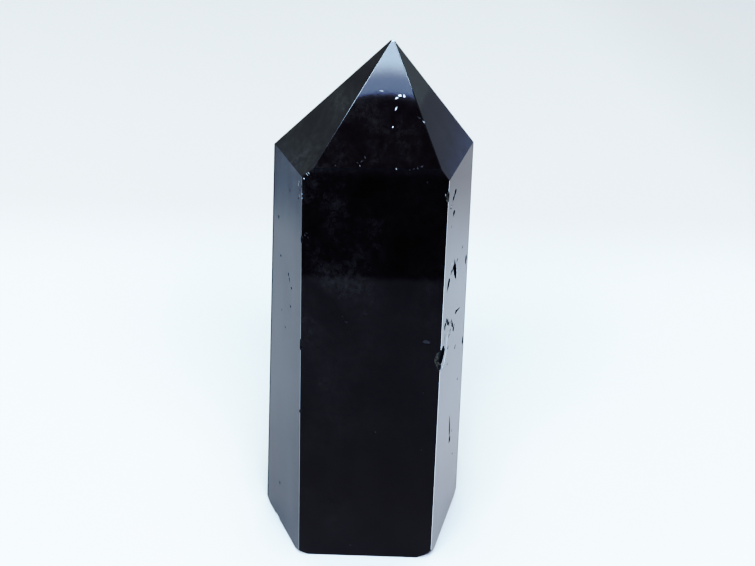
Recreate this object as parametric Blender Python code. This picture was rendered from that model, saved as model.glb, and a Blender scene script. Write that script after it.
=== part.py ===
"""A morion point: one crystal of near-black smoky quartz, cut flat at the foot and polished to a point.

The stone is shaped as a lapidary shapes it. A block is cut by six upright faces, six tip faces and a
foot, each a plane, then every edge is eased, the foot's corners are rounded, and the knocks of handling
are struck out of the edges and faces. It stands on its foot, with the front face towards -Y.
"""

from math import cos, radians, sin

import bmesh
import bpy
from mathutils import Matrix, Vector, noise

# Driving dimensions, in metres and degrees.
MM = 0.001
HEIGHT = 72.25 * MM  # foot to the point where the tip faces meet
TIP_BLUNT = 0.25 * MM  # polished off the very tip
EDGE_RADIUS = 0.14 * MM  # every edge between two polished faces
BLOCK_WIDTH = 3 * HEIGHT  # the rough block that the faces are cut from

# The upright faces. Azimuths turn from the front (-Y) towards +X. The lean is how far a face's normal
# rises above level, and the distance is from the plumb line under the tip, at the foot.
PRISM_FACES = {
    "front": (0.1, 0.7, 9.04 * MM),
    "front_right": (73.0, 1.3, 10.05 * MM),
    "back_right": (120.4, 2.5, 11.74 * MM),
    "back": (181.0, 1.0, 10.30 * MM),
    "back_left": (-118.7, 3.4, 13.91 * MM),
    "front_left": (-62.4, 1.2, 13.21 * MM),
}

# The tip faces: azimuth, slope below level, and how far each falls short of the meeting point.
TIP_FACES = {
    "tip_front": (-1.0, 53.1, 0.04 * MM),
    "tip_front_right": (76.6, 56.2, -0.06 * MM),
    "tip_back_right": (120.7, 55.3, 0.03 * MM),
    "tip_back": (181.5, 52.5, 0.03 * MM),
    "tip_back_left": (-118.3, 50.0, 0.03 * MM),
    "tip_front_left": (-62.5, 45.8, 0.07 * MM),
}

# Radius of the worn corner at the foot between each two neighbouring upright faces.
FOOT_CORNERS = {
    ("front", "front_left"): 0.75 * MM,
    ("front", "front_right"): 1.1 * MM,
    ("front_right", "back_right"): 0.7 * MM,
    ("back_right", "back"): 0.9 * MM,
    ("back", "back_left"): 0.8 * MM,
    ("back_left", "front_left"): 0.7 * MM,
}

# Chips struck out of the upright edges: the two faces, the height, the azimuth that the scar faces,
# the scar's half length along the edge, half width across it, and depth.
EDGE_CHIPS = (
    ("front", "front_right", 35.2 * MM, 58, 2.15 * MM, 1.45 * MM, 0.62 * MM),
    ("front", "front_right", 33.3 * MM, 30, 0.75 * MM, 0.60 * MM, 0.36 * MM),
    ("front", "front_right", 57.6 * MM, 40, 0.85 * MM, 0.62 * MM, 0.34 * MM),
    ("front", "front_left", 59.7 * MM, -40, 0.80 * MM, 0.70 * MM, 0.40 * MM),
    ("front", "front_left", 51.4 * MM, -25, 0.35 * MM, 0.30 * MM, 0.16 * MM),
    ("front", "front_left", 37.0 * MM, -30, 0.90 * MM, 0.34 * MM, 0.18 * MM),
    ("front_right", "back_right", 42.7 * MM, 97, 0.70 * MM, 0.45 * MM, 0.24 * MM),
    ("front_right", "back_right", 29.2 * MM, 97, 0.55 * MM, 0.40 * MM, 0.22 * MM),
    ("back_right", "back", 50.5 * MM, 160, 1.60 * MM, 1.00 * MM, 0.50 * MM),
    ("back_right", "back", 17.0 * MM, 140, 0.90 * MM, 0.60 * MM, 0.34 * MM),
    ("back", "back_left", 26.0 * MM, -155, 1.90 * MM, 1.10 * MM, 0.55 * MM),
    ("back", "back_left", 44.0 * MM, -140, 0.60 * MM, 0.45 * MM, 0.26 * MM),
    ("back_left", "front_left", 9.0 * MM, -90, 0.80 * MM, 0.50 * MM, 0.28 * MM),
)

# Flakes lost from the foot's rim: the face above, the distance along it from its middle, half length,
# and depth.
FOOT_CHIPS = (
    ("front", 1.5 * MM, 0.55 * MM, 0.30 * MM),
    ("front_left", -1.8 * MM, 0.80 * MM, 0.36 * MM),
    ("back", 3.6 * MM, 1.10 * MM, 0.46 * MM),
    ("back", -2.2 * MM, 0.60 * MM, 0.30 * MM),
    ("back_right", 1.0 * MM, 0.75 * MM, 0.34 * MM),
    ("back_left", -1.6 * MM, 0.65 * MM, 0.32 * MM),
)

# Three-cornered gouges in the upright faces: the face, the distance along it from its middle, the
# height, the turn of its long axis from plumb, half length, half width and depth.
GOUGES = (
    ("front_right", -0.2 * MM, 45.0 * MM, 4, 1.90 * MM, 0.85 * MM, 0.34 * MM),
    ("front_right", -2.6 * MM, 44.5 * MM, -28, 0.85 * MM, 0.34 * MM, 0.20 * MM),
    ("back", 2.4 * MM, 37.0 * MM, 20, 1.30 * MM, 0.60 * MM, 0.30 * MM),
    ("back_left", 1.2 * MM, 33.0 * MM, -12, 1.50 * MM, 0.50 * MM, 0.26 * MM),
)

SCAR_RIPPLES = 3  # rings across a scar
SCAR_RIPPLE_HEIGHT = 0.035  # of the scar's depth
SCAR_UNEVENNESS = 0.16  # of the scar's half width

# The cut stone's finish.
MORION_COLOR = (0.006, 0.006, 0.008, 1.0)
MORION_ROUGHNESS = 0.06
QUARTZ_IOR = 1.544


def clear_scene():
    for thing in list(bpy.data.objects):
        bpy.data.objects.remove(thing, do_unlink=True)


def direction(azimuth, rise):
    """The unit vector at an azimuth from the front and a rise above level, both in degrees."""
    level = cos(radians(rise))
    return Vector((sin(radians(azimuth)) * level, -cos(radians(azimuth)) * level, sin(radians(rise))))


def make_planes():
    """Every polished plane as its outward normal and its distance from the middle of the foot."""
    planes = {"foot": (Vector((0, 0, -1)), 0.0)}
    for name, (azimuth, lean, distance) in PRISM_FACES.items():
        planes[name] = (direction(azimuth, lean), distance)
    for name, (azimuth, slope, short) in TIP_FACES.items():
        normal = direction(azimuth, 90 - slope)
        planes[name] = (normal, normal.z * HEIGHT - short)
    planes["tip_blunt"] = (Vector((0, 0, 1)), HEIGHT - TIP_BLUNT)
    return planes


def cut(bm, normal, distance):
    """Cuts away what lies beyond a plane, and closes the stone again with one flat face."""
    everything = bm.verts[:] + bm.edges[:] + bm.faces[:]
    made = bmesh.ops.bisect_plane(
        bm, geom=everything, dist=1e-8, plane_co=normal * distance, plane_no=normal, clear_outer=True
    )
    rim = [e for e in made["geom_cut"] if isinstance(e, bmesh.types.BMEdge) and e.is_boundary]
    if rim:
        bmesh.ops.edgeloop_fill(bm, edges=rim)


def edge_pairs(bm, planes):
    """The pairs of planes that share an edge of the cut stone."""
    bm.normal_update()

    def nearest(face):
        return max(planes, key=lambda name: planes[name][0].dot(face.normal))

    return {tuple(sorted((nearest(e.link_faces[0]), nearest(e.link_faces[1])))) for e in bm.edges}


def ease_edge(bm, first, second, radius):
    """Rolls the edge between two planes with two narrow flats on a circle of the given radius."""
    middle = (first[0] + second[0]).normalized()
    share = first[0].dot(middle)
    for near, far in ((first, second), (second, first)):
        normal = (near[0] * 2 + far[0]).normalized()
        # A plane through the edge, drawn in until it touches the circle.
        weight = near[0].dot(far[0])
        a = (normal.dot(near[0]) - weight * normal.dot(far[0])) / (1 - weight * weight)
        b = (normal.dot(far[0]) - weight * normal.dot(near[0])) / (1 - weight * weight)
        at_edge = a * near[1] + b * far[1]
        cut(bm, normal, at_edge - radius * (normal.dot(middle) / share - 1))


def round_corner(bm, planes, corner, radius):
    """Rounds a corner of the foot with flats that touch a ball resting against its three planes."""
    trio = [planes[name] for name in (*corner, "foot")]
    centre = Matrix([normal for normal, _ in trio]).inverted() @ Vector([d - radius for _, d in trio])
    for weights in ((1, 1, 1), (2, 1, 1), (1, 2, 1), (1, 1, 2), (2, 2, 1), (2, 1, 2), (1, 2, 2)):
        normal = sum((n * w for (n, _), w in zip(trio, weights)), Vector()).normalized()
        cut(bm, normal, normal.dot(centre) + radius)


def edge_spot(planes, first, second, height):
    """The point at a height on the upright edge between two faces."""
    rows = Matrix([planes[first][0], planes[second][0], Vector((0, 0, 1))])
    return rows.inverted() @ Vector((planes[first][1], planes[second][1], height))


def face_spot(planes, name, along, height):
    """The point on an upright face at a distance along it from its middle, seen from outside."""
    normal, distance = planes[name]
    names = list(PRISM_FACES)
    here = names.index(name)
    ends = [edge_spot(planes, name, names[(here + step) % len(names)], height) for step in (-1, 1)]
    sideways = Vector((0, 0, 1)).cross(normal).normalized()
    return (ends[0] + ends[1]) / 2 + sideways * along


def stand_on(point, outward, upward, turn=0.0):
    """A frame at a point of the stone: X outward, Z upward, turned about X."""
    x = outward.normalized()
    y = upward.cross(x).normalized()
    z = x.cross(y)
    return Matrix.Translation(point) @ Matrix((x, y, z)).transposed().to_4x4() @ Matrix.Rotation(
        radians(turn), 4, "X"
    )


def add_scar(cutters, frame, half_length, half_width, depth, detail):
    """Adds a shell-shaped scoop whose scar has the given size where it leaves a flat face."""
    scoop = bmesh.ops.create_icosphere(cutters, subdivisions=detail, radius=1.0)["verts"]
    for vert in scoop:
        ring = Vector((0, vert.co.y, vert.co.z)).length
        ripple = cos(ring * SCAR_RIPPLES * 6.28) * SCAR_RIPPLE_HEIGHT
        uneven = noise.noise(vert.co * 1.7 + frame.translation * 900) * SCAR_UNEVENNESS
        vert.co *= 1 + uneven
        vert.co.x += ripple
    # The scoop is half sunk: its middle lies on the face, so the depth is its half thickness.
    size = Matrix.Diagonal((depth, half_width, half_length, 1))
    bmesh.ops.transform(cutters, matrix=frame @ size, verts=scoop)


def add_gouge(cutters, frame, half_length, half_width, depth):
    """Adds a three-cornered pick that tapers into the face."""
    pick = bmesh.ops.create_cone(
        cutters, cap_ends=True, segments=3, radius1=1.0, radius2=0.25, depth=2.0
    )["verts"]
    lay_down = Matrix.Rotation(radians(-90), 4, "Y")
    size = Matrix.Diagonal((depth, half_width, half_length, 1))
    bmesh.ops.transform(cutters, matrix=frame @ size @ lay_down, verts=pick)


def polished_stone(planes):
    """The crystal with its faces cut, its edges eased and the corners of its foot rounded."""
    bm = bmesh.new()
    bmesh.ops.create_cube(bm, size=BLOCK_WIDTH)
    for normal, distance in planes.values():
        cut(bm, normal, distance)
    for first, second in sorted(edge_pairs(bm, planes)):
        ease_edge(bm, planes[first], planes[second], EDGE_RADIUS)
    for corner, radius in FOOT_CORNERS.items():
        round_corner(bm, planes, corner, radius)
    return bm


def knocks(planes):
    """The cutters for the chips, flakes and gouges, as one mesh of separate closed shapes."""
    up = Vector((0, 0, 1))
    cutters = bmesh.new()
    for first, second, height, azimuth, half_length, half_width, depth in EDGE_CHIPS:
        spot = edge_spot(planes, first, second, height)
        frame = stand_on(spot, direction(azimuth, 0), up)
        detail = 3 if half_length > 1.0 * MM else 2
        add_scar(cutters, frame, half_length, half_width, depth, detail)
    for name, along, half_length, depth in FOOT_CHIPS:
        normal = planes[name][0]
        outward = normal - up * 0.8
        sideways = up.cross(normal)
        frame = stand_on(face_spot(planes, name, along, 0.0), outward, sideways)
        add_scar(cutters, frame, half_length, half_length * 0.55, depth, 2)
    for name, along, height, turn, half_length, half_width, depth in GOUGES:
        frame = stand_on(face_spot(planes, name, along, height), planes[name][0], up, turn)
        add_gouge(cutters, frame, half_length, half_width, depth)
    return cutters


def as_object(name, bm):
    mesh = bpy.data.meshes.new(name)
    bm.to_mesh(mesh)
    bm.free()
    thing = bpy.data.objects.new(name, mesh)
    bpy.context.collection.objects.link(thing)
    return thing


def morion_material():
    material = bpy.data.materials.new("morion")
    material.use_nodes = True
    shader = material.node_tree.nodes["Principled BSDF"]
    shader.inputs["Base Color"].default_value = MORION_COLOR
    shader.inputs["Roughness"].default_value = MORION_ROUGHNESS
    shader.inputs["Metallic"].default_value = 0.0
    shader.inputs["IOR"].default_value = QUARTZ_IOR
    return material


def build():
    clear_scene()
    planes = make_planes()
    stone = polished_stone(planes)
    cutters = knocks(planes)

    # The stone stands with the middle of its own outline over the origin.
    low = Vector([min(v.co[axis] for v in stone.verts) for axis in range(3)])
    high = Vector([max(v.co[axis] for v in stone.verts) for axis in range(3)])
    middle = Vector(((low.x + high.x) / 2, (low.y + high.y) / 2, low.z))
    for bm in (stone, cutters):
        bmesh.ops.translate(bm, vec=-middle, verts=bm.verts)

    crystal = as_object("crystal_point", stone)
    crystal.data.materials.append(morion_material())

    chipping = as_object("chipping", cutters)
    chipping.display_type = "WIRE"
    chipping.hide_render = True
    strike = crystal.modifiers.new("chips", "BOOLEAN")
    strike.operation = "DIFFERENCE"
    strike.solver = "EXACT"
    strike.use_self = True  # two chips run into each other on the front edge
    strike.object = chipping


build()
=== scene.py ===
import random
from math import cos, radians, sin

import bmesh
import bpy
from mathutils import Euler, Matrix, Vector, noise


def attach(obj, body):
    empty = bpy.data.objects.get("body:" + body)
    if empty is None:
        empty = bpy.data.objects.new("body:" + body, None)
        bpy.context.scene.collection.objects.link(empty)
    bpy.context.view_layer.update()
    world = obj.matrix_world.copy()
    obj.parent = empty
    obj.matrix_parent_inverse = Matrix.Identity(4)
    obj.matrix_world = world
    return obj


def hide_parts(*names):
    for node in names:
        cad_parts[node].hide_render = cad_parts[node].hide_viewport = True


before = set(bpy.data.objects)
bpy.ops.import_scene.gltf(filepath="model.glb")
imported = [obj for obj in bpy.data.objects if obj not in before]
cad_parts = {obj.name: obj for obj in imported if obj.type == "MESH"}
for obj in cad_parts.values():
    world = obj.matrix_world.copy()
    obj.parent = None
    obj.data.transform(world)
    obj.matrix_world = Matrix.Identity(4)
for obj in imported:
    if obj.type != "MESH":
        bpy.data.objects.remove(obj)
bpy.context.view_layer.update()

# ---- The camera ---------------------------------------------------------------------------------
# A hand-held close-up from above and in front, tilted a little. It is placed from the plumb line
# that drops from the crystal's tip, which meets the table right and front of the outline's middle.
MM = 0.001
PLUMB_LINE = Vector((1.894, -0.680, 0)) * MM
EYE = PLUMB_LINE + Vector((-0.722, -116.732, 128.049)) * MM
LOOKING_DOWN = 37.102
TILT = 1.946
SENSOR_WIDTH = 36.0
FRAME_WIDTH_PX = 755
FOCAL_LENGTH_PX = 1200
SEES_FROM, SEES_TO = 5 * MM, 20.0

camera_data = bpy.data.cameras.new("camera")
camera_data.sensor_width = SENSOR_WIDTH
camera_data.lens = FOCAL_LENGTH_PX * SENSOR_WIDTH / FRAME_WIDTH_PX
camera_data.clip_start = SEES_FROM
camera_data.clip_end = SEES_TO
camera = bpy.data.objects.new("camera", camera_data)
bpy.context.collection.objects.link(camera)
camera.matrix_world = (
    Matrix.Translation(EYE)
    @ Euler((radians(90 - LOOKING_DOWN), 0, 0)).to_matrix().to_4x4()
    @ Matrix.Rotation(radians(TILT), 4, "Z")
)
bpy.context.scene.camera = camera

# ---- The crystal's form -------------------------------------------------------------------------
# One crystal of morion, quartz so smoky that it is black. It is sawn flat at the foot and ground by
# hand on six long faces and six tip faces, so that no two faces or edges run quite alike. The
# sizes are those of the solid it replaces.
HEIGHT = 72.25 * MM
TIP_BLUNT = 0.25 * MM
EDGE_RADIUS = 0.14 * MM
EDGE_FLATS = 4  # narrow flats that make up each eased edge
CUT_TOLERANCE = 1e-8
# The tables are in degrees and millimetres. A long face has its azimuth, how far it leans in
# towards the tip and its distance from the plumb line.
PRISM_FACES = {
    "front": (0.1, 0.7, 9.04),
    "front_right": (73.0, 1.3, 10.05),
    "back_right": (120.4, 2.5, 11.74),
    "back": (181.0, 1.0, 10.30),
    "back_left": (-118.7, 3.4, 13.91),
    "front_left": (-62.4, 1.2, 13.21),
}
# A tip face has its azimuth, its slope and how far it passes inside the plumb line's upper end.
TIP_FACES = {
    "tip_front": (-1.0, 53.1, 0.04),
    "tip_front_right": (76.6, 56.2, -0.06),
    "tip_back_right": (120.7, 55.3, 0.03),
    "tip_back": (181.5, 52.5, 0.03),
    "tip_back_left": (-118.3, 50.0, 0.03),
    "tip_front_left": (-62.5, 45.8, 0.07),
}
# The radius to which each corner of the foot is worn.
FOOT_CORNERS = {
    ("front", "front_left"): 0.75,
    ("front", "front_right"): 1.1,
    ("front_right", "back_right"): 0.7,
    ("back_right", "back"): 0.9,
    ("back", "back_left"): 0.8,
    ("back_left", "front_left"): 0.7,
}
# The flats of a worn corner: how much each of its three faces counts in a flat's direction.
CORNER_FLATS = ((1, 1, 1), (2, 1, 1), (1, 2, 1), (1, 1, 2), (2, 2, 1), (2, 1, 2), (1, 2, 2))
# The finishes, and the eased edges that are worn or carry painted highlight or painted shade, flat by
# flat from their first face.
POLISHED, SCAR, FROSTED, BRUISE_AND_GLINT, PALE, SPECK, WORN_AND_HIGHLIGHT, BRIGHT_WORN_AND_HIGHLIGHT, TIP_WORN_AND_HIGHLIGHT, DULL_PAINTED_SHADE = range(10)
WORN_AND_PAINTED_FLATS = {
    ("front", "front_left"): (POLISHED, WORN_AND_HIGHLIGHT, WORN_AND_HIGHLIGHT, WORN_AND_HIGHLIGHT),
    ("front", "front_right"): (POLISHED, POLISHED, BRIGHT_WORN_AND_HIGHLIGHT, BRIGHT_WORN_AND_HIGHLIGHT),
    ("front", "tip_front"): (DULL_PAINTED_SHADE,) * EDGE_FLATS,
    ("tip_front", "tip_front_left"): (POLISHED, TIP_WORN_AND_HIGHLIGHT, POLISHED, POLISHED),
    ("tip_front", "tip_front_right"): (DULL_PAINTED_SHADE, TIP_WORN_AND_HIGHLIGHT, DULL_PAINTED_SHADE, DULL_PAINTED_SHADE),
    ("tip_blunt", "tip_front"): (TIP_WORN_AND_HIGHLIGHT,) * EDGE_FLATS,
    ("tip_back_left", "tip_front_left"): (DULL_PAINTED_SHADE,) * EDGE_FLATS,
    ("tip_back_right", "tip_front_right"): (DULL_PAINTED_SHADE,) * EDGE_FLATS,
}
# Strips of the long faces beside an edge that get the dull finish, a dark line of painted shade: the
# face, the edge's other face and the strip's width.
PAINTED_SHADE_STRIPS = (("front_left", "back_left", 0.30), ("front_right", "back_right", 0.22))
SAME_WAY = 0.99999  # the cosine past which two normals belong to one flat face
UP = Vector((0, 0, 1))


def direction(azimuth, rise=0.0):
    """A direction, from its azimuth and how far it rises above the level, in degrees."""
    level = cos(radians(rise))
    return Vector((sin(radians(azimuth)) * level, -cos(radians(azimuth)) * level, sin(radians(rise))))


def grind(stone, normal, distance):
    """Takes off what lies beyond a plane and closes the stone with one flat face."""
    made = bmesh.ops.bisect_plane(
        stone,
        geom=stone.verts[:] + stone.edges[:] + stone.faces[:],
        dist=CUT_TOLERANCE,
        plane_co=normal * distance,
        plane_no=normal,
        clear_outer=True,
    )
    rim = [e for e in made["geom_cut"] if isinstance(e, bmesh.types.BMEdge) and e.is_boundary]
    if rim:
        return bmesh.ops.edgeloop_fill(stone, edges=rim)["faces"]
    return []


planes = {"foot": (-UP, 0.0)}
for name, (azimuth, lean, distance) in PRISM_FACES.items():
    planes[name] = (direction(azimuth, lean), distance * MM)
for name, (azimuth, slope, inside) in TIP_FACES.items():
    normal = direction(azimuth, 90 - slope)
    planes[name] = (normal, normal.z * HEIGHT - inside * MM)
planes["tip_blunt"] = (UP, HEIGHT - TIP_BLUNT)

stone = bmesh.new()
bmesh.ops.create_cube(stone, size=3 * HEIGHT)
for name, (normal, distance) in planes.items():
    for face in grind(stone, normal, distance):
        face.material_index = TIP_WORN_AND_HIGHLIGHT if name == "tip_blunt" else POLISHED

# Every edge is eased with a few narrow flats on a small circle.
stone.normal_update()
meetings = set()
for edge in stone.edges:
    pair = [max(planes, key=lambda name: planes[name][0].dot(f.normal)) for f in edge.link_faces]
    meetings.add(tuple(sorted(pair)))
for first, second in sorted(meetings):
    (n_first, d_first), (n_second, d_second) = planes[first], planes[second]
    middle = (n_first + n_second).normalized()
    spread = n_first.dot(n_second)
    flat_finishes = WORN_AND_PAINTED_FLATS.get((first, second), (POLISHED,) * EDGE_FLATS)
    for step, finish in enumerate(flat_finishes, start=1):
        normal = n_first.slerp(n_second, step / (EDGE_FLATS + 1))
        a = (normal.dot(n_first) - spread * normal.dot(n_second)) / (1 - spread * spread)
        b = (normal.dot(n_second) - spread * normal.dot(n_first)) / (1 - spread * spread)
        drawn_in = EDGE_RADIUS * (normal.dot(middle) / n_first.dot(middle) - 1)
        for face in grind(stone, normal, a * d_first + b * d_second - drawn_in):
            face.material_index = finish

# The corners of the foot are worn round.
for corner, radius in FOOT_CORNERS.items():
    trio = [planes[name] for name in (*corner, "foot")]
    centre = Matrix([n for n, d in trio]).inverted() @ Vector([d - radius * MM for n, d in trio])
    for shares in CORNER_FLATS:
        normal = sum((n * share for (n, d), share in zip(trio, shares)), Vector()).normalized()
        grind(stone, normal, normal.dot(centre) + radius * MM)

# Each strip of painted shade is parted from the rest of its face.
for name, neighbour, width in PAINTED_SHADE_STRIPS:
    outward, (normal, distance) = planes[name][0], planes[neighbour]
    strip_from = distance - width * MM * outward.cross(normal).length
    side = [face for face in stone.faces if face.normal.dot(outward) > SAME_WAY]
    around = {piece for face in side for piece in (*face.edges, *face.verts)}
    bmesh.ops.bisect_plane(
        stone,
        geom=[*side, *around],
        dist=CUT_TOLERANCE,
        plane_co=normal * strip_from,
        plane_no=normal,
    )
    for face in stone.faces:
        past = face.calc_center_median().dot(normal) > strip_from
        if past and face.normal.dot(outward) > SAME_WAY:
            face.material_index = DULL_PAINTED_SHADE

# ---- The scars ----------------------------------------------------------------------------------
# Quartz has no cleavage, so a knock takes a shell-shaped flake out of an edge, rippled round the point
# where it was struck. Harder points leave ragged picks, gashes and white bruises. Some of the white
# marks are painted glints, and the holes and spots in the dull finish are painted shade.

# The tables are in degrees and millimetres. A chip in an edge has the edge's two faces, its height,
# the azimuth that it was struck from, its half length, half width and depth, and its finish.
EDGE_CHIPS = (
    ("front", "front_right", 35.1, 16, 1.36, 0.72, 0.46, FROSTED),
    ("front", "front_right", 35.4, 73, 1.30, 1.80, 0.38, DULL_PAINTED_SHADE),
    ("front", "front_right", 33.9, 30, 0.60, 0.50, 0.34, SCAR),
    ("front", "front_right", 57.9, 30, 0.68, 0.36, 0.28, FROSTED),
    ("front", "front_left", 60.2, -20, 0.40, 0.34, 0.14, SCAR),
    ("front", "front_left", 51.8, -6, 0.45, 0.26, 0.12, SCAR),
    ("front", "front_left", 36.8, -6, 0.85, 0.28, 0.14, SCAR),
    ("front", "front_left", 26.2, -20, 0.28, 0.24, 0.12, SCAR),
    ("back_right", "back", 50.5, 160, 1.60, 1.00, 0.50, SCAR),
    ("back_right", "back", 17.0, 140, 0.90, 0.60, 0.34, SCAR),
    ("back", "back_left", 26.0, -155, 1.90, 1.10, 0.55, SCAR),
    ("back", "back_left", 44.0, -140, 0.60, 0.45, 0.26, SCAR),
)
# A chip in the foot's rim has its face, the distance along it from its middle, its half length and
# its depth.
FOOT_CHIPS = (
    ("front_left", -1.8, 0.80, 0.36),
    ("back", 3.6, 1.10, 0.46),
    ("back", -2.2, 0.60, 0.30),
    ("back_right", 1.0, 0.75, 0.34),
    ("back_left", -1.6, 0.65, 0.32),
)
# How much a blow to the foot's rim comes from below, and a foot chip's width as a share of its
# length.
FOOT_BLOW_RISE = 0.8
FOOT_CHIP_WIDTH = 0.55
# A gouge has its face, the distance along it from its middle, its height, the turn of its long axis
# from plumb, its half length, half width and depth, and its finish.
GOUGES = (
    ("front_right", -0.66, 44.90, 196, 2.20, 0.60, 0.72, DULL_PAINTED_SHADE),
    ("front_right", -0.36, 44.35, 18, 1.20, 0.62, 0.72, DULL_PAINTED_SHADE),
    ("front_right", -1.50, 45.80, 112, 0.85, 0.40, 0.50, DULL_PAINTED_SHADE),
    ("front_right", -2.45, 45.75, 130, 0.60, 0.30, 0.40, SCAR),
    ("front_right", -3.38, 45.00, -38, 1.25, 0.50, 0.60, DULL_PAINTED_SHADE),
    ("back", 2.4, 37.0, 20, 1.30, 0.60, 0.30, SCAR),
    ("back_left", 1.2, 33.0, -12, 1.50, 0.50, 0.26, SCAR),
    ("front_right", -2.28, 56.77, -62, 0.66, 0.34, 0.45, DULL_PAINTED_SHADE),
    ("front_right", -2.92, 56.43, -56, 0.58, 0.30, 0.40, DULL_PAINTED_SHADE),
    ("front_right", -3.84, 55.76, 5, 0.28, 0.42, 0.34, SCAR),
    ("front_right", -2.45, 54.23, -10, 0.54, 0.52, 0.44, SCAR),
    ("front_right", 1.70, 37.17, 68, 1.40, 0.17, 0.22, SCAR),
    ("front_right", 0.80, 37.50, 68, 0.60, 0.34, 0.46, DULL_PAINTED_SHADE),
    ("front_right", -0.08, 35.58, 10, 0.66, 0.36, 0.46, DULL_PAINTED_SHADE),
    ("front_right", 0.22, 35.90, -50, 0.36, 0.20, 0.30, DULL_PAINTED_SHADE),
    ("front_right", -0.75, 36.80, 30, 0.90, 0.34, 0.40, SCAR),
    ("front_right", -1.80, 36.30, -50, 0.80, 0.26, 0.32, SCAR),
    ("front_right", -2.50, 38.30, 20, 0.70, 0.30, 0.34, SCAR),
    ("front_right", -3.10, 39.00, 15, 0.80, 0.32, 0.36, SCAR),
    ("front_right", -3.70, 39.60, -20, 0.70, 0.28, 0.34, SCAR),
    ("front_right", -4.30, 39.20, 10, 0.90, 0.36, 0.36, SCAR),
    ("front_right", -1.30, 37.70, 10, 0.55, 0.30, 0.30, SCAR),
    ("front_right", -2.40, 34.4, 0, 0.26, 0.30, 0.10, SCAR),
    ("front_right", 1.25, 31.6, 20, 0.30, 0.44, 0.12, SCAR),
    ("front_right", 0.62, 18.0, 188, 3.00, 0.26, 0.34, SCAR),
    ("front_right", 0.95, 15.6, 188, 1.00, 0.42, 0.46, SCAR),
    ("front_left", 0.80, 56.4, 0, 0.40, 0.26, 0.03, SCAR),
    ("front_left", -2.36, 50.9, 10, 0.40, 0.26, 0.04, SCAR),
    ("front_left", -1.63, 45.8, -15, 0.26, 0.16, 0.06, SCAR),
    ("front_left", 0.64, 44.62, 12, 0.40, 0.13, 0.10, SCAR),
    ("front_left", 0.95, 44.10, 10, 0.50, 0.10, 0.07, SCAR),
    ("front_left", 1.57, 43.2, 0, 0.26, 0.18, 0.05, SCAR),
    ("front_left", 1.43, 40.4, 5, 0.36, 0.24, 0.04, SCAR),
    ("front_left", -1.09, 38.0, 0, 0.30, 0.20, 0.03, SCAR),
    ("front_left", -0.09, 36.1, 30, 0.26, 0.18, 0.03, SCAR),
    ("front_left", -1.10, 7.6, 8, 0.44, 0.42, 0.05, SCAR),
)
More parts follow.
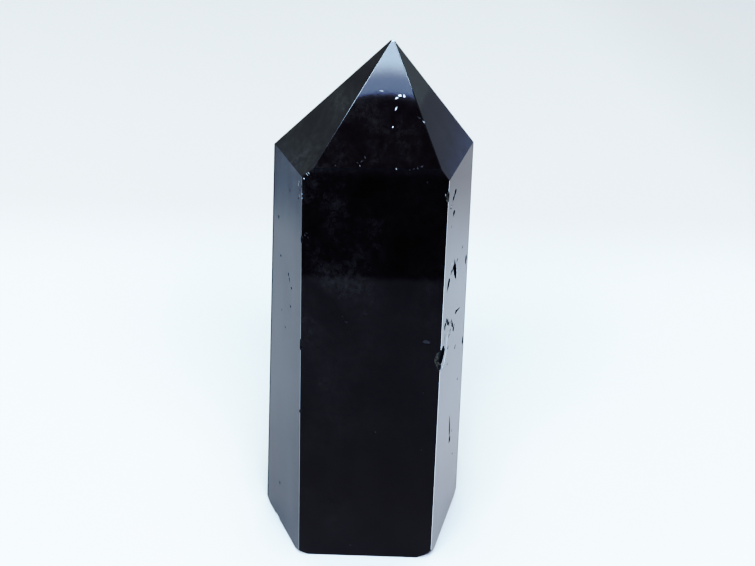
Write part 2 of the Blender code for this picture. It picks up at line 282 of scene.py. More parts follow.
# A crushed spot, a painted glint or a dull spot of painted shade has its face, the distance right of
# the plumb line, its height, the turn of its long axis from plumb, its half length and half width, and
# its finish.
MARKS = (
    ("tip_front", -0.98, 67.74, 88, 0.26, 0.045, BRUISE_AND_GLINT),
    ("tip_front", 0.64, 67.18, -60, 0.22, 0.11, BRUISE_AND_GLINT),
    ("tip_front", 0.98, 67.40, 70, 0.20, 0.14, BRUISE_AND_GLINT),
    ("tip_front", 1.44, 67.38, 20, 0.18, 0.13, BRUISE_AND_GLINT),
    ("tip_front", 0.60, 66.26, -20, 0.24, 0.10, BRUISE_AND_GLINT),
    ("tip_front", 0.34, 64.73, 0, 0.12, 0.09, BRUISE_AND_GLINT),
    ("tip_front", 3.62, 65.26, 55, 0.22, 0.08, PALE),
    ("tip_front", 3.10, 65.60, 60, 0.24, 0.09, SPECK),
    ("tip_front", -3.00, 61.33, 30, 0.09, 0.06, PALE),
    ("tip_front", 0.86, 61.20, 10, 0.12, 0.09, PALE),
    ("tip_front", -2.80, 61.75, -40, 0.18, 0.09, SPECK),
    ("tip_front", -2.50, 62.10, 20, 0.14, 0.09, SPECK),
    ("tip_front", -3.30, 61.60, 60, 0.16, 0.07, SPECK),
    ("tip_front", 2.30, 61.14, 40, 0.14, 0.09, SPECK),
    ("tip_front", 2.71, 61.26, -50, 0.12, 0.09, SPECK),
    ("tip_front", 3.13, 61.32, 20, 0.16, 0.09, SPECK),
    ("tip_front", 3.55, 61.50, -60, 0.18, 0.09, SPECK),
    ("tip_front", -5.60, 61.27, 0, 0.12, 0.07, SPECK),
    ("front", 6.30, 58.12, 22, 0.42, 0.075, PALE),
    ("front", 4.25, 59.70, 0, 0.16, 0.08, SPECK),
    ("front", -8.93, 59.68, 40, 0.11, 0.08, BRUISE_AND_GLINT),
    ("front", -8.62, 60.22, 30, 0.30, 0.07, PALE),
    ("front", -8.40, 60.34, 30, 0.16, 0.08, PALE),
    ("front", -8.50, 60.55, -30, 0.20, 0.09, SPECK),
    ("front_left", -9.52, 58.83, 20, 0.14, 0.07, PALE),
    ("front_left", -9.59, 58.38, -10, 0.22, 0.09, PALE),
    ("front_left", -9.21, 58.59, 0, 0.18, 0.10, SPECK),
    ("front_left", -9.05, 59.10, 0, 0.16, 0.08, PALE),
    ("front_left", -9.41, 57.92, 30, 0.18, 0.08, SPECK),
    ("front_left", -9.16, 57.73, -10, 0.20, 0.10, PALE),
    ("front_left", -9.48, 57.15, 15, 0.16, 0.07, PALE),
    ("front_left", -9.16, 57.23, 0, 0.24, 0.10, PALE),
    ("front_left", -9.61, 56.62, -20, 0.16, 0.08, SPECK),
    ("front", 5.24, 37.81, 82, 0.52, 0.26, SPECK),
    ("front", -8.89, 52.40, 10, 0.18, 0.10, SPECK),
    ("front", -8.72, 52.67, 60, 0.16, 0.08, SPECK),
    ("front", -8.55, 52.10, 10, 0.14, 0.07, SPECK),
    ("front", -0.36, 23.12, 30, 0.16, 0.11, SPECK),
    ("front", -2.00, 41.67, 70, 0.16, 0.06, SPECK),
    ("front", -4.65, 41.27, 20, 0.14, 0.06, SPECK),
    ("front", -4.22, 40.41, 75, 0.20, 0.06, SPECK),
    ("front", -6.05, 10.53, -20, 0.18, 0.06, SPECK),
    ("front", -3.19, 2.14, 60, 0.14, 0.07, SPECK),
    ("front", 5.51, 20.29, 0, 0.12, 0.06, SPECK),
    ("front", 5.28, 29.84, 40, 0.12, 0.06, SPECK),
    ("front", 1.43, 13.84, 0, 0.11, 0.06, SPECK),
    ("front_right", 9.90, 42.90, 0, 0.70, 0.34, DULL_PAINTED_SHADE),
    ("front_right", 10.45, 29.45, 0, 0.70, 0.34, DULL_PAINTED_SHADE),
    ("front_right", 7.80, 35.82, -10, 1.10, 0.11, BRUISE_AND_GLINT),
    ("front_right", 7.79, 34.60, -16, 1.00, 0.12, BRUISE_AND_GLINT),
    ("front_right", 7.69, 33.60, -34, 0.75, 0.15, BRUISE_AND_GLINT),
    ("front_right", 7.45, 37.20, -20, 0.60, 0.22, PALE),
    ("front_right", 7.49, 33.03, 20, 0.30, 0.24, BRUISE_AND_GLINT),
    ("front_right", 8.58, 44.10, 14, 0.90, 0.09, BRUISE_AND_GLINT),
    ("front_right", 7.75, 46.90, 24, 0.40, 0.09, BRUISE_AND_GLINT),
)
MARK_DEPTH = 0.07
# Small pits that time left anywhere: how many each face has, how far along it and how high they
# lie, their half widths, and their half lengths and depth as multiples of the half width.
STRAY_PITS = {"front_right": 8, "back_right": 26, "back": 34, "back_left": 26}
PITS_ALONG = (-4.0, 4.0)
PITS_UP = (3, 56)
PIT_WIDTHS = (0.07, 0.19)
PIT_LENGTHS = (0.8, 2.6)
PIT_DEPTH = 0.5
PIT_CHANCE = 17
# The cutting shapes are made 1 unit in radius and then laid on the stone. Lumps are given as how
# fine they are and how far they stand out. A shape's place times its seed picks its lumps, so that
# no two shapes are alike.
CHIP_SEED, PICK_SEED, MARK_SEED = 900, 3000, 5000
CHIP_DETAIL, LARGE_CHIP_DETAIL = 4, 5
LARGE_CHIP = 1.0  # half length
CHIP_LUMPS = ((1.7, 0.16), (5, 0.05))
BLOW_OUT, BLOW_ASIDE, BLOW_BEYOND = 0.2, 0.5, 1.1  # the point where a chip was struck
RIPPLES, RIPPLE_HEIGHT = 6.5, 0.06
PICK_SIDES = 8
PICK_MOUTH, PICK_FLOOR = 1.2, 0.3
PICK_WIDTH, PICK_WEDGE, PICK_DROP = 1.05, 0.70, 0.3  # a pick is a wedge, wide at one end
PICK_LUMPS = (2.6, 0.45)
MARK_DETAIL = 2
MARK_LUMPS = (2.3, 0.8)


def edge_spot(first, second, height):
    """Where two faces meet at a height."""
    rows = Matrix([planes[first][0], planes[second][0], UP])
    return rows.inverted() @ Vector((planes[first][1], planes[second][1], height))


def face_spot(name, along, height):
    """A spot on a long face, some way along it from its middle."""
    ring = list(PRISM_FACES)
    here = ring.index(name)
    ends = [edge_spot(name, ring[(here + step) % len(ring)], height) for step in (-1, 1)]
    return (ends[0] + ends[1]) / 2 + UP.cross(planes[name][0]).normalized() * along


def laid_on(spot, outward, upward, turn=0.0):
    """A place on the stone, with X pointing out of it and Z along the scar."""
    x = outward.normalized()
    y = upward.cross(x).normalized()
    axes = Matrix((x, y, x.cross(y))).transposed().to_4x4()
    return Matrix.Translation(spot) @ axes @ Matrix.Rotation(radians(turn), 4, "X")


def sunk(cutters, verts, place, half_length, half_width, depth, finish):
    """Lays a unit shape on the stone and names the finish of the hole that it leaves."""
    size = Matrix.Diagonal((depth, half_width, half_length, 1))
    bmesh.ops.transform(cutters, matrix=place @ size, verts=verts)
    for face in {face for vert in verts for face in vert.link_faces}:
        face.material_index = finish


def strike(cutters, place, half_length, half_width, depth, detail, finish):
    """The scoop that a shell-shaped flake leaves, rippled round where it was struck."""
    seed = place.translation * CHIP_SEED
    beyond = BLOW_BEYOND if noise.noise(seed * 3) > 0 else -BLOW_BEYOND
    struck = Vector((BLOW_OUT, BLOW_ASIDE * noise.noise(seed), beyond))
    verts = bmesh.ops.create_icosphere(cutters, subdivisions=detail, radius=1.0)["verts"]
    for vert in verts:
        co = vert.co.copy()
        wave = (co - struck).length * RIPPLES
        swollen = 1
        for fineness, height in CHIP_LUMPS:
            swollen += noise.noise(co * fineness + seed) * height
        vert.co *= swollen
        vert.co.x += (wave % 1.0) ** 2 * RIPPLE_HEIGHT
    sunk(cutters, verts, place, half_length, half_width, depth, finish)


def pick(cutters, place, half_length, half_width, depth, finish):
    """A ragged hole, widest at the top, that tapers into the stone."""
    seed = place.translation * PICK_SEED
    fineness, height = PICK_LUMPS
    verts = bmesh.ops.create_cone(
        cutters,
        cap_ends=True,
        segments=PICK_SIDES,
        radius1=PICK_MOUTH,
        radius2=PICK_FLOOR,
        depth=2.0,
        matrix=Matrix.Rotation(radians(-90), 4, "Y"),
    )["verts"]
    for vert in verts:
        ragged = 1 + height * noise.noise(vert.co * fineness + seed)
        at_mouth = vert.co.yz.length > (PICK_MOUTH + PICK_FLOOR) / 2
        reach = PICK_MOUTH if at_mouth else PICK_FLOOR
        vert.co.y *= (PICK_WIDTH + PICK_WEDGE * vert.co.z / reach) * ragged
        vert.co.z = vert.co.z * ragged - PICK_DROP * reach
    sunk(cutters, verts, place, half_length, half_width, depth, finish)


def lay_mark(cutters, place, half_length, half_width, finish):
    """A shallow spot: crushed stone, a painted glint or painted shade, as its finish gives."""
    seed = place.translation * MARK_SEED
    fineness, height = MARK_LUMPS
    verts = bmesh.ops.create_icosphere(cutters, subdivisions=MARK_DETAIL, radius=1.0)["verts"]
    for vert in verts:
        vert.co *= 1 + noise.noise(vert.co * fineness + seed) * height
    sunk(cutters, verts, place, half_length, half_width, MARK_DEPTH * MM, finish)


cutters = bmesh.new()
for first, second, height, azimuth, half_length, half_width, depth, finish in EDGE_CHIPS:
    place = laid_on(edge_spot(first, second, height * MM), direction(azimuth), UP)
    detail = LARGE_CHIP_DETAIL if half_length > LARGE_CHIP else CHIP_DETAIL
    strike(cutters, place, half_length * MM, half_width * MM, depth * MM, detail, finish)
for name, along, half_length, depth in FOOT_CHIPS:
    normal = planes[name][0]
    half_width = half_length * MM * FOOT_CHIP_WIDTH
    place = laid_on(face_spot(name, along * MM, 0.0), normal - UP * FOOT_BLOW_RISE, UP.cross(normal))
    strike(cutters, place, half_length * MM, half_width, depth * MM, CHIP_DETAIL, SCAR)
for name, along, height, turn, half_length, half_width, depth, finish in GOUGES:
    place = laid_on(face_spot(name, along * MM, height * MM), planes[name][0], UP, turn)
    pick(cutters, place, half_length * MM, half_width * MM, depth * MM, finish)
for name, right, height, turn, half_length, half_width, finish in MARKS:
    normal, distance = planes[name]
    back = (distance - normal.x * right * MM - normal.z * height * MM) / normal.y
    place = laid_on(Vector((right * MM, back, height * MM)), normal, UP, turn)
    lay_mark(cutters, place, half_length * MM, half_width * MM, finish)
chance = random.Random(PIT_CHANCE)
for name, count in STRAY_PITS.items():
    for _ in range(count):
        spot = face_spot(name, chance.uniform(*PITS_ALONG) * MM, chance.uniform(*PITS_UP) * MM)
        size = chance.uniform(*PIT_WIDTHS) * MM
        place = laid_on(spot, planes[name][0], UP, chance.uniform(0, 360))
        pick(cutters, place, size * chance.uniform(*PIT_LENGTHS), size, size * PIT_DEPTH, SCAR)

# The stone and its scars are moved together, so that the middle of its outline is at the origin.
spans = [[vert.co[axis] for vert in stone.verts] for axis in (0, 1)]
outline_middle = Vector([(min(span) + max(span)) / 2 for span in spans] + [0.0])
for mesh_in_hand in (stone, cutters):
    bmesh.ops.translate(mesh_in_hand, vec=-outline_middle, verts=mesh_in_hand.verts)

crystal = bpy.data.objects.new("crystal", bpy.data.meshes.new("crystal"))
stone.to_mesh(crystal.data)
stone.free()
struck_out = bpy.data.objects.new("struck_out", bpy.data.meshes.new("struck_out"))
cutters.to_mesh(struck_out.data)
cutters.free()
for thing in (crystal, struck_out):
    bpy.context.collection.objects.link(thing)

# ---- The crystal's finishes ---------------------------------------------------------------------
# Polished morion mirrors like black glass over a body that is almost black, with pale veils here and
# there inside it. Scars are duller and bruises are white. The pale lines on the worn long edges and on
# the tip's edges are painted highlights, some white bruises are painted glints, and the dull near-black
# finish is painted shade.
QUARTZ_IOR = 1.544
BODY = (0.0105, 0.0058, 0.0062, 1)
VEIL = (0.050, 0.045, 0.044, 1)
STREAK = (0.0175, 0.0165, 0.0185, 1)
FROST_DARK, FROST_LIGHT = (0.012, 0.010, 0.008, 1), (0.078, 0.069, 0.054, 1)
WORN_AND_HIGHLIGHT_BELOW, WORN_AND_HIGHLIGHT_ABOVE = (0.20, 0.20, 0.20, 1), (0.10, 0.10, 0.10, 1)
BRIGHT_HIGHLIGHT_BELOW, BRIGHT_HIGHLIGHT_ABOVE = (0.90, 0.89, 0.88, 1), (0.62, 0.61, 0.60, 1)
TIP_PAINTED_HIGHLIGHT = (0.60, 0.62, 0.64, 1)
PAINTED_SHADE_GLOSS = 0.1
# Each finish has its name, colour and roughness, in the order of the finishes' numbers.
FINISHES = (
    ("polished_morion", BODY, 0.035),
    ("fresh_scar", (0.014, 0.012, 0.012, 1), 0.14),
    ("frosted_scar", BODY, 0.5),
    ("white_bruise", (0.62, 0.62, 0.64, 1), 0.6),
    ("pale_mark", (0.24, 0.24, 0.24, 1), 0.6),
    ("grey_speck", (0.045, 0.039, 0.044, 1), 0.6),
    ("worn_edge", WORN_AND_HIGHLIGHT_BELOW, 0.4),
    ("bright_worn_edge", BRIGHT_HIGHLIGHT_BELOW, 0.4),
    ("worn_tip_edge", BODY, 0.3),
    ("dull_rim", (0.012, 0.012, 0.014, 1), 0.5),
)
# Grains, as how many there are to a metre across and upright, and the levels between which each
# comes in.
VEIL_PATCHES = {"Across": 230, "Upright": 150, "Detail": 4, "Shift": (2.6, -2.0, 4.6)}
VEIL_WISPS = {"Across": 1500, "Upright": 1250, "Detail": 8, "Roughness": 0.74}
STREAKS = {"Across": 900, "Upright": 75, "Detail": 4}
FROST = {"Across": 3800, "Upright": 2400, "Detail": 3}
PATCH_LEVELS, WISP_LEVELS = (0.24, 0.85), (0.34, 0.78)
STREAK_LEVELS, FROST_LEVELS = (0.30, 0.72), (0.42, 0.60)
WISP_SHARE = 0.85  # how much of a patch is made of wisps
# The relief that polishing left, as grains and their heights in metres: lines, peel and swell.
RELIEF = (
    ({"Across": 3600, "Upright": 70, "Detail": 2}, 1.5e-6),
    ({"Across": 900, "Upright": 500, "Detail": 2}, 1.2e-6),
    ({"Across": 130, "Upright": 60, "Detail": 1}, 8e-6),
)
# Where the looks change on the stone, from one place to another, and from one strength to another.
VEILS_UP = (22 * MM, 52 * MM, 0.35, 1.0)
VEILS_RIGHT = (-4 * MM, 5 * MM, 1.0, 0.5)
STREAKS_BACK = (-7.9 * MM, -7.5 * MM)
STREAKS_UP = (59 * MM, 62 * MM, 1.0, 0.0)
RELIEF_UP = (60 * MM, 63 * MM, 1.0, 0.25)
WORN_HIGHLIGHT_UP = (45 * MM, 52 * MM)
TIP_HIGHLIGHT_UP = (66.0 * MM, 67.5 * MM)
TIP_HIGHLIGHT_SLANT = (-0.35, 0.0, 1.0)
# The edges past this angle, in degrees, stay crisp, and so do the rims of all that was struck or
# painted with glints or shade. The crushed marks and painted glints aren't shaded smooth. At a weight
# of 100 the largest faces alone shade the eased edges.
CRISP_FROM = 24
CRUSHED_AND_GLINTS = (BRUISE_AND_GLINT, PALE, SPECK)
STRUCK_AND_PAINTED = (SCAR, FROSTED, DULL_PAINTED_SHADE, *CRUSHED_AND_GLINTS)
LARGEST_FACES = 100


def number_math(tree, operation, a, b=0.0, c=0.0):
    node = tree.nodes.new("ShaderNodeMath")
    node.operation = operation
    for socket, value in zip(node.inputs, (a, b, c)):
        if isinstance(value, (int, float)):
            socket.default_value = value
        else:
            tree.links.new(value, socket)
    return node.outputs[0]


def vector_math(tree, operation, a, b=None):
    node = tree.nodes.new("ShaderNodeVectorMath")
    node.operation = operation
    second = node.inputs["Scale" if operation == "SCALE" else 1]
    for socket, value in ((node.inputs[0], a), (second, b)):
        if isinstance(value, tuple):
            socket.default_value = value
        elif value is not None:
            tree.links.new(value, socket)
    return node.outputs["Value" if operation in ("LENGTH", "DISTANCE", "DOT_PRODUCT") else "Vector"]


def fade(tree, value, start, end, low=0.0, high=1.0):
    """A smooth step from low to high, while a value goes from start to end."""
    node = tree.nodes.new("ShaderNodeMapRange")
    node.interpolation_type = "SMOOTHSTEP"
    for name, number in zip(("From Min", "From Max", "To Min", "To Max"), (start, end, low, high)):
        node.inputs[name].default_value = number
    tree.links.new(value, node.inputs["Value"])
    return node.outputs["Result"]


def mix(tree, factor, a, b):
    """A colour between two, each given as a colour or as the socket that it comes from."""
    node = tree.nodes.new("ShaderNodeMix")
    node.data_type = "RGBA"
    tree.links.new(factor, node.inputs["Factor"])
    for name, colour in (("A", a), ("B", b)):
        if isinstance(colour, tuple):
            node.inputs[name].default_value = colour
        else:
            tree.links.new(colour, node.inputs[name])
    return node.outputs["Result"]


def place_on(tree, axis=None):
    """The place on the piece, or how far along one of its axes that is."""
    place = tree.nodes.new("ShaderNodeTexCoord").outputs["Object"]
    if axis is None:
        return place
    split = tree.nodes.new("ShaderNodeSeparateXYZ")
    tree.links.new(place, split.inputs["Vector"])
    return split.outputs[axis]


def new_effect(name, inputs, output, kind):
    """An effect that several finishes share, as a node group: its tree, inputs and outputs."""
    tree = bpy.data.node_groups.new(name, "ShaderNodeTree")
    for title, input_kind, usual in inputs:
        tree.interface.new_socket(title, in_out="INPUT", socket_type=input_kind).default_value = usual
    tree.interface.new_socket(output, in_out="OUTPUT", socket_type=kind)
    return tree, tree.nodes.new("NodeGroupInput").outputs, tree.nodes.new("NodeGroupOutput").inputs


def placed(tree, effect, **values):
    """Places a shared effect in a finish, with that finish's own values."""
    node = tree.nodes.new("ShaderNodeGroup")
    node.node_tree = effect
    for name, value in values.items():
        node.inputs[name].default_value = value
    return node.outputs[0]


# Grain that is drawn out along the crystal.
long_grain, given, put_out = new_effect(
    "long_grain",
    (
        ("Across", "NodeSocketFloat", 1.0),
        ("Upright", "NodeSocketFloat", 1.0),
        ("Detail", "NodeSocketFloat", 2.0),
        ("Roughness", "NodeSocketFloat", 0.5),
        ("Shift", "NodeSocketVector", (0, 0, 0)),
    ),
    "Grain",
    "NodeSocketFloat",
)
fineness = long_grain.nodes.new("ShaderNodeCombineXYZ")
stretch = long_grain.nodes.new("ShaderNodeMapping")
grain = long_grain.nodes.new("ShaderNodeTexNoise")
grain.inputs["Scale"].default_value = 1.0
for source, socket in (
    (given["Across"], fineness.inputs["X"]),
    (given["Across"], fineness.inputs["Y"]),
    (given["Upright"], fineness.inputs["Z"]),
    (place_on(long_grain), stretch.inputs["Vector"]),
    (given["Shift"], stretch.inputs["Location"]),
    (fineness.outputs["Vector"], stretch.inputs["Scale"]),
    (stretch.outputs["Vector"], grain.inputs["Vector"]),
    (given["Detail"], grain.inputs["Detail"]),
    (given["Roughness"], grain.inputs["Roughness"]),
    (grain.outputs["Fac"], put_out["Grain"]),
):
    long_grain.links.new(source, socket)

# The wear of the long edges with a painted highlight line, paler below than above.
edge_wear_and_highlight, given, put_out = new_effect(
    "edge_wear_and_highlight",
    (("Below", "NodeSocketColor", WORN_AND_HIGHLIGHT_BELOW), ("Above", "NodeSocketColor", WORN_AND_HIGHLIGHT_ABOVE)),
    "Color",
    "NodeSocketColor",
)
height = fade(edge_wear_and_highlight, place_on(edge_wear_and_highlight, "Z"), *WORN_HIGHLIGHT_UP)
worn_and_highlight_color = mix(edge_wear_and_highlight, height, given["Below"], given["Above"])
edge_wear_and_highlight.links.new(worn_and_highlight_color, put_out["Color"])

finishes = []
for name, colour, roughness in FINISHES:
    finish = bpy.data.materials.new(name)
    finish.use_nodes = True
    shader = finish.node_tree.nodes["Principled BSDF"]
    shader.inputs["Base Color"].default_value = colour
    shader.inputs["Roughness"].default_value = roughness
    shader.inputs["IOR"].default_value = QUARTZ_IOR
    finishes.append(finish)

# The polished faces have veils and, on the sides, fine upright streaks under a faint relief.
tree = finishes[POLISHED].node_tree
shader = tree.nodes["Principled BSDF"]
right, back, up = place_on(tree, "X"), place_on(tree, "Y"), place_on(tree, "Z")
patches = fade(tree, placed(tree, long_grain, **VEIL_PATCHES), *PATCH_LEVELS)
wisps = fade(tree, placed(tree, long_grain, **VEIL_WISPS), *WISP_LEVELS)
veils = number_math(tree, "MULTIPLY_ADD", wisps, WISP_SHARE, 1 - WISP_SHARE)
veils = number_math(tree, "MULTIPLY", patches, veils)
upper = fade(tree, up, *VEILS_UP)
leftward = fade(tree, right, *VEILS_RIGHT)
veils = number_math(tree, "MULTIPLY", veils, number_math(tree, "MULTIPLY", upper, leftward))
streaks = fade(tree, placed(tree, long_grain, **STREAKS), *STREAK_LEVELS)
sides = number_math(tree, "MULTIPLY", fade(tree, back, *STREAKS_BACK), fade(tree, up, *STREAKS_UP))
body = mix(tree, number_math(tree, "MULTIPLY", streaks, sides), BODY, STREAK)
tree.links.new(mix(tree, veils, body, VEIL), shader.inputs["Base Color"])
lines, peel, swell = (
    number_math(tree, "MULTIPLY", placed(tree, long_grain, **values), height)
    for values, height in RELIEF
)
relief = number_math(tree, "ADD", number_math(tree, "ADD", lines, peel), swell)
relief = number_math(tree, "MULTIPLY", relief, fade(tree, up, *RELIEF_UP))
bump = tree.nodes.new("ShaderNodeBump")
bump.inputs["Distance"].default_value = 1.0
tree.links.new(relief, bump.inputs["Height"])
tree.links.new(bump.outputs["Normal"], shader.inputs["Normal"])

# The frosted scars are crushed to light and dark grains.
tree = finishes[FROSTED].node_tree
frost = fade(tree, placed(tree, long_grain, **FROST), *FROST_LEVELS)
frost_color = mix(tree, frost, FROST_DARK, FROST_LIGHT)
tree.links.new(frost_color, tree.nodes["Principled BSDF"].inputs["Base Color"])

# The long edges: wear with a painted highlight line.
for number, below, above in ((WORN_AND_HIGHLIGHT, WORN_AND_HIGHLIGHT_BELOW, WORN_AND_HIGHLIGHT_ABOVE), (BRIGHT_WORN_AND_HIGHLIGHT, BRIGHT_HIGHLIGHT_BELOW, BRIGHT_HIGHLIGHT_ABOVE)):
    tree = finishes[number].node_tree
    worn_and_highlight_color = placed(tree, edge_wear_and_highlight, Below=below, Above=above)
    tree.links.new(worn_and_highlight_color, tree.nodes["Principled BSDF"].inputs["Base Color"])

# The tip's edges and its blunt top carry a painted highlight, pale from a slanting line up.
tree = finishes[TIP_WORN_AND_HIGHLIGHT].node_tree
lean = vector_math(tree, "DOT_PRODUCT", place_on(tree), TIP_HIGHLIGHT_SLANT)
tip_highlight_color = mix(tree, fade(tree, lean, *TIP_HIGHLIGHT_UP), BODY, TIP_PAINTED_HIGHLIGHT)
tree.links.new(tip_highlight_color, tree.nodes["Principled BSDF"].inputs["Base Color"])

# The dull finish barely mirrors, so it paints near-black shade on its strips, slots, edges and spots.
painted_shade_shader = finishes[DULL_PAINTED_SHADE].node_tree.nodes["Principled BSDF"]
painted_shade_shader.inputs["Specular IOR Level"].default_value = PAINTED_SHADE_GLOSS

# The scars are struck out of the stone, and each hole keeps its finish.
for thing in (crystal, struck_out):
    for finish in finishes:
        thing.data.materials.append(finish)
chips = crystal.modifiers.new("chips", "BOOLEAN")
chips.operation = "DIFFERENCE"
chips.solver = "EXACT"
chips.use_self = True
chips.object = struck_out
finished = bpy.data.meshes.new_from_object(crystal.evaluated_get(bpy.context.evaluated_depsgraph_get()))
crystal.modifiers.clear()
crystal.data = finished
bpy.data.objects.remove(struck_out, do_unlink=True)
for polygon in finished.polygons:
    polygon.use_smooth = polygon.material_index not in CRUSHED_AND_GLINTS
finished.set_sharp_from_angle(angle=radians(CRISP_FROM))
rims = bmesh.new()
rims.from_mesh(finished)
for edge in rims.edges:
    if len({face.material_index in STRUCK_AND_PAINTED for face in edge.link_faces}) > 1:
        edge.smooth = False
rims.to_mesh(finished)
rims.free()
weigh = crystal.modifiers.new("flat_faces_stay_flat", "WEIGHTED_NORMAL")
weigh.keep_sharp = True
weigh.weight = LARGEST_FACES

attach(crystal, "root")
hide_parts("crystal_point")

# ---- The floor ----------------------------------------------------------------------------------
# A pale sheet. Its colour paints light and shade: a pool of light round the crystal, a lighter, warmer
# patch at the foot, and shade further back, far out and past a slanting line. The stone mirrors it
# dimmer than it looks, as painted shade that only reflections show: it is shaded in front, most of all
# past a straight line, and falls off further out.
FLOOR_RADIUS = 3.0
FLOOR_SIDES = 96
FLOOR_ROUGHNESS = 0.9
FLOOR_COLOR = (0.745, 0.71, 0.68, 1)
BACK_PAINTED_SHADE = (0.665, 0.59, 0.54, 1)
FAR_PAINTED_SHADE = (0.60, 0.594, 0.632, 1)
PALE_TO, BACK_FROM = 50 * MM, 78 * MM
NEAR_TO, FAR_FROM = 180 * MM, 300 * MM
# Painted light: the sheet is lighter and warmer near the foot, against the crystal's shade there.
FOOT_PAINTED_LIGHT = (0.780, 0.722, 0.674, 1)
FOOT_FROM, FOOT_TO = 12 * MM, 45 * MM
UNDIMMED = (1, 1, 1, 1)
MIRROR_TINT = (1.02, 1.0, 1.05)
# Painted shade: the sheet is a little darker past a slanting line on the right. Places in millimetres
# and factors.
CORNER_LEAN = (1.0, 0.3, 0.0)
CORNER_PAINTED_SHADE = ((-90, 1.03), (-40, 1.02), (10, 1.0), (96, 1.0), (122, 0.93), (200, 0.93))
# How bright the mirrored sheet is, as places in millimetres and factors: across on both sides of
# the crystal, front to back, and outward.
ACROSS = (
    (-90, 0.80),
    (-76, 0.81),
    (-67, 0.91),
    (-58, 0.80),
    (-50, 0.74),
    (-35, 0.73),
    (-25, 0.62),
    (-17, 0.60),
    (-12, 0.62),
    (0, 0.85),
    (17, 0.86),
    (25, 0.93),
    (90, 0.98),
)
SIDES_FROM, SIDES_TO = -9.6 * MM, -8 * MM
DEPTHWISE = (
    (-114, 0.42),
    (-110, 0.17),
    (-75.8, 0.16),
    (-74.0, 0.49),
    (-67, 0.49),
    (-58, 0.475),
    (-41, 0.468),
    (-20, 0.51),
    (-9.6, 0.635),
    (-8, 1.08),
    (90, 1.08),
)
OUTWARD = ((0, 1.0), (60, 1.0), (97, 0.67), (150, 0.67), (350, 1.33), (400, 1.33))


def profile(tree, value, stops):
    """A ramp through places in millimetres and their factors."""
    first, last = stops[0][0], stops[-1][0]
    spread = tree.nodes.new("ShaderNodeMapRange")
    spread.inputs["From Min"].default_value = first * MM
    spread.inputs["From Max"].default_value = last * MM
    ramp = tree.nodes.new("ShaderNodeValToRGB")
    ramp.color_ramp.interpolation = "LINEAR"
    points = ramp.color_ramp.elements
    while len(points) < len(stops):
        points.new(0.5)
    for point, (spot, factor) in zip(points, stops):
        point.position = (spot - first) / (last - first)
        point.color = (factor, factor, factor, 1)
    tree.links.new(value, spread.inputs["Value"])
    tree.links.new(spread.outputs["Result"], ramp.inputs["Fac"])
    return ramp.outputs["Color"]


floor_mesh = bmesh.new()
bmesh.ops.create_circle(floor_mesh, cap_ends=True, radius=FLOOR_RADIUS, segments=FLOOR_SIDES)
floor = bpy.data.objects.new("floor", bpy.data.meshes.new("floor"))
floor_mesh.to_mesh(floor.data)
floor_mesh.free()
bpy.context.collection.objects.link(floor)
sheet = bpy.data.materials.new("sheet")
sheet.use_nodes = True
tree = sheet.node_tree
shader = tree.nodes["Principled BSDF"]
shader.inputs["Roughness"].default_value = FLOOR_ROUGHNESS
shader.inputs["Specular IOR Level"].default_value = 0.0
place, right, back = place_on(tree), place_on(tree, "X"), place_on(tree, "Y")
reach = vector_math(tree, "LENGTH", place)
lean = vector_math(tree, "DOT_PRODUCT", place, CORNER_LEAN)
# The sheet's colour paints light and shade: lighter at the foot, darker further back, far out and past
# the slanting line.
sheet_with_painted_light = mix(tree, fade(tree, reach, FOOT_FROM, FOOT_TO), FOOT_PAINTED_LIGHT, FLOOR_COLOR)
sheet_with_painted_light = mix(tree, fade(tree, back, PALE_TO, BACK_FROM), sheet_with_painted_light, BACK_PAINTED_SHADE)
sheet_with_painted_light = mix(tree, fade(tree, reach, NEAR_TO, FAR_FROM), sheet_with_painted_light, FAR_PAINTED_SHADE)
corner = profile(tree, lean, CORNER_PAINTED_SHADE)
sides = fade(tree, back, SIDES_FROM, SIDES_TO)
across = number_math(tree, "ADD", profile(tree, right, ACROSS), -1.0)
across = number_math(tree, "ADD", number_math(tree, "MULTIPLY", across, sides), 1.0)
depthwise = profile(tree, back, DEPTHWISE)
outward = profile(tree, reach, OUTWARD)
dimmed = number_math(tree, "MULTIPLY", number_math(tree, "MULTIPLY", across, depthwise), outward)
ray = tree.nodes.new("ShaderNodeLightPath")
mirror_tone = vector_math(tree, "SCALE", MIRROR_TINT, dimmed)
mirrored = mix(tree, ray.outputs["Is Glossy Ray"], UNDIMMED, mirror_tone)
shade = vector_math(tree, "SCALE", vector_math(tree, "MULTIPLY", sheet_with_painted_light, mirrored), corner)
tree.links.new(shade, shader.inputs["Base Color"])
floor.data.materials.append(sheet)

# ---- The light ----------------------------------------------------------------------------------
# Cool, soft daylight from all round, a soft box overhead, and a bright sky high in front, which the
# tip's front face mirrors. A round head stands against the sky's lower edge.
DAYLIGHT = (0.74, 0.87, 0.92)
WORLD_STRENGTH = 0.968
OVERHEAD_POWER = 0.45
OVERHEAD_SIZE = 0.30
OVERHEAD_PLACE = (0, 0.03, 0.45)
SKY_AZIMUTH = -1.9
SKY_FAR = 0.60
SKY_WIDTH = 0.70
SKY_FROM, SKY_TO = 30.0, 62.0
BELOW_TIP = 5 * MM  # the sky's heights are angles seen from this far below the tip
HEAD_TOP = 45.43
HEAD_RADIUS = 85 * MM
HEAD_BLUR = 1.2 * MM
SKY_STRENGTH = 15.9
HEAD_COLOR = (0.018, 0.020, 0.021, 1)
SKY_LOW_COLOR = (0.205, 0.258, 0.385, 1)
SKY_HIGH_COLOR = (0.60, 0.79, 1.0, 1)
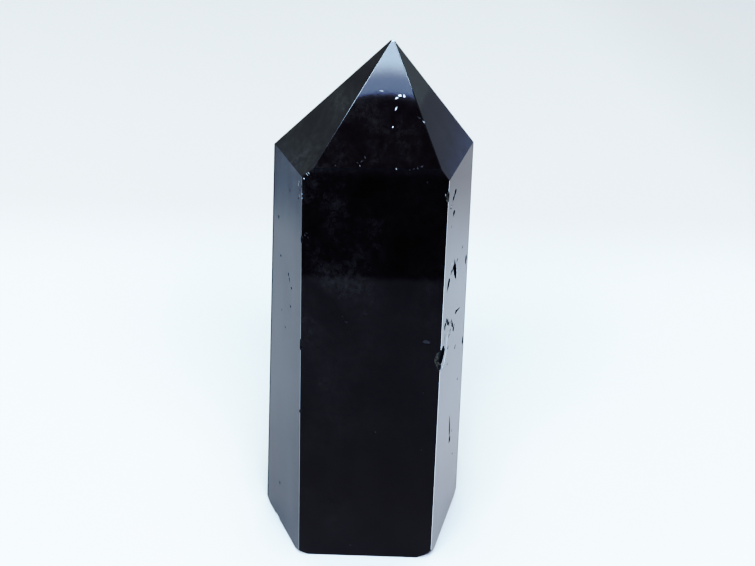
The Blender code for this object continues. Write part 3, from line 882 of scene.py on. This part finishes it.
# The sky brightens upward past an arch over the head.
CLIMB_RADIUS = 40 * MM
CLIMB_ASIDE = 0.5 * MM
CLIMB_FROM, CLIMB_TO = 9.2 * MM, 20 * MM
CLIMB_UP = (-2 * MM, 6 * MM)
BLACK = (0, 0, 0, 1)

world = bpy.data.worlds.new("daylight")
world.use_nodes = True
backdrop = world.node_tree.nodes["Background"]
backdrop.inputs["Color"].default_value = (*DAYLIGHT, 1)
backdrop.inputs["Strength"].default_value = WORLD_STRENGTH
bpy.context.scene.world = world

overhead_data = bpy.data.lights.new("overhead", "AREA")
overhead_data.shape = "DISK"
overhead_data.size = OVERHEAD_SIZE
overhead_data.energy = OVERHEAD_POWER
overhead_data.color = DAYLIGHT
overhead = bpy.data.objects.new("overhead", overhead_data)
overhead.location = OVERHEAD_PLACE
bpy.context.collection.objects.link(overhead)

# The sky is a card. Its own Z is up and its own origin is at the top of the head.
side = SKY_WIDTH / 2
low, high = (SKY_FAR * sin(radians(rise - HEAD_TOP)) for rise in (SKY_FROM, SKY_TO))
card = bmesh.new()
corners = ((-side, 0, low), (side, 0, low), (side, 0, high), (-side, 0, high))
card.faces.new([card.verts.new(corner) for corner in corners])
sky = bpy.data.objects.new("sky", bpy.data.meshes.new("sky"))
card.to_mesh(sky.data)
card.free()
bpy.context.collection.objects.link(sky)
outward_to_sky = direction(SKY_AZIMUTH, HEAD_TOP)
sky_x = UP.cross(outward_to_sky).normalized()
sky_axes = Matrix((sky_x, -outward_to_sky, outward_to_sky.cross(sky_x))).transposed().to_4x4()
sky_place = PLUMB_LINE + UP * (HEIGHT - BELOW_TIP) + outward_to_sky * SKY_FAR
sky.matrix_world = Matrix.Translation(sky_place) @ sky_axes
sky.visible_camera = False
glow = bpy.data.materials.new("sky_glow")
glow.use_nodes = True
tree = glow.node_tree
shader = tree.nodes["Principled BSDF"]
shader.inputs["Base Color"].default_value = BLACK
shader.inputs["Specular IOR Level"].default_value = 0.0
shader.inputs["Emission Strength"].default_value = SKY_STRENGTH
place = place_on(tree)
from_head = vector_math(tree, "DISTANCE", place, (0, 0, -HEAD_RADIUS))
past_head = fade(tree, from_head, HEAD_RADIUS - HEAD_BLUR, HEAD_RADIUS + HEAD_BLUR)
from_arch = vector_math(tree, "DISTANCE", place, (CLIMB_ASIDE, 0, -CLIMB_RADIUS))
climb = fade(tree, from_arch, CLIMB_RADIUS + CLIMB_FROM, CLIMB_RADIUS + CLIMB_TO)
climb = number_math(tree, "MULTIPLY", climb, fade(tree, place_on(tree, "Z"), *CLIMB_UP))
hue = mix(tree, past_head, HEAD_COLOR, mix(tree, climb, SKY_LOW_COLOR, SKY_HIGH_COLOR))
tree.links.new(hue, shader.inputs["Emission Color"])
sky.data.materials.append(glow)

# ---- The camera's tones -------------------------------------------------------------------------
# The camera's curve: deep shadows sink to black, mid tones stay, and the whites roll off.
WHITE_LEVEL = 1.5
TONES = (
    (0.0, 0.0),
    (0.03, 0.002),
    (0.05, 0.0085),
    (0.07, 0.017),
    (0.09, 0.029),
    (0.124, 0.053),
    (0.15, 0.09),
    (0.195, 0.165),
    (0.266, 0.26),
    (0.40, 0.41),
    (0.60, 0.60),
    (0.80, 0.76),
    (1.00, 0.885),
    (1.20, 0.945),
    (1.50, 0.985),
)
view = bpy.context.scene.view_settings
view.view_transform = "Standard"
view.use_curve_mapping = True
view.curve_mapping.white_level = (WHITE_LEVEL,) * 3
curve = view.curve_mapping.curves[3]
curve.points[0].location = TONES[0]
curve.points[1].location = (1.0, TONES[-1][1])
for light_in, light_out in TONES[1:-1]:
    curve.points.new(light_in / WHITE_LEVEL, light_out)
for point in curve.points:
    point.handle_type = "AUTO_CLAMPED"
view.curve_mapping.update()
